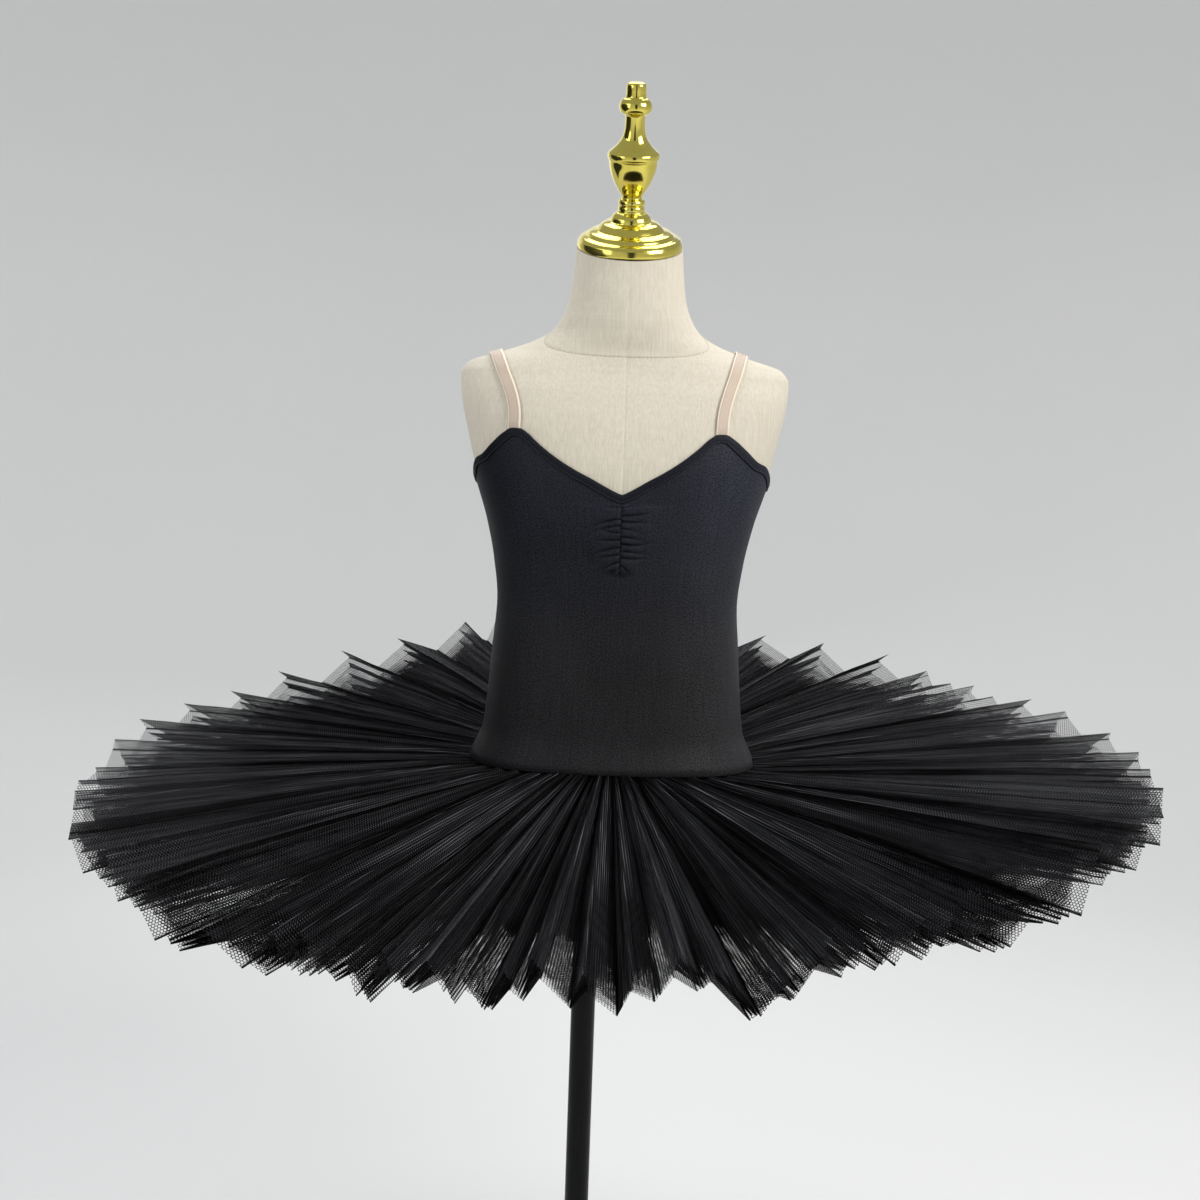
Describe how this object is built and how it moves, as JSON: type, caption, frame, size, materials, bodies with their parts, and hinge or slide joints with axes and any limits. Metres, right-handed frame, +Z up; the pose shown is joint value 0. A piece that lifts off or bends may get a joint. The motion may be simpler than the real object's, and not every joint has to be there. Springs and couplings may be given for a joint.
{
  "type": "ballet tutu on a dress form",
  "caption": "Child's black ballet tutu with a camisole bodice, nude straps and a flat pleated net skirt, worn on a limbless linen dress form with a turned neck finial and a pole stand.",
  "frame": {"origin": "on the floor under the dress form's axis", "axes": "+Z up, the garment's front faces -Y, +X is the wearer's left"},
  "size_m": [0.8632, 0.8612, 1.2456],
  "materials": {
    "jersey": "matte jersey with a faint sheen",
    "binding": "folded jersey strip",
    "elastic": "nude elastic",
    "net": "stiff tulle",
    "linen": "cream linen",
    "gold": "polished gold plating",
    "black_paint": "satin black"
  },
  "bodies": {
    "root": {"bodice_front": "jersey", "bodice_back": "jersey", "binding_front": "binding", "binding_back": "binding", "strap_left": "elastic", "strap_right": "elastic", "brief_front": "jersey", "brief_back": "jersey", "gusset": "jersey", "net_layer_1": "net", "net_layer_2": "net", "net_layer_3": "net", "net_layer_4": "net", "net_layer_5": "net", "dress_form": "linen", "finial": "gold", "pole_collar": "black_paint", "pole": "black_paint", "base_plate": "black_paint"}
  },
  "joints": []
}
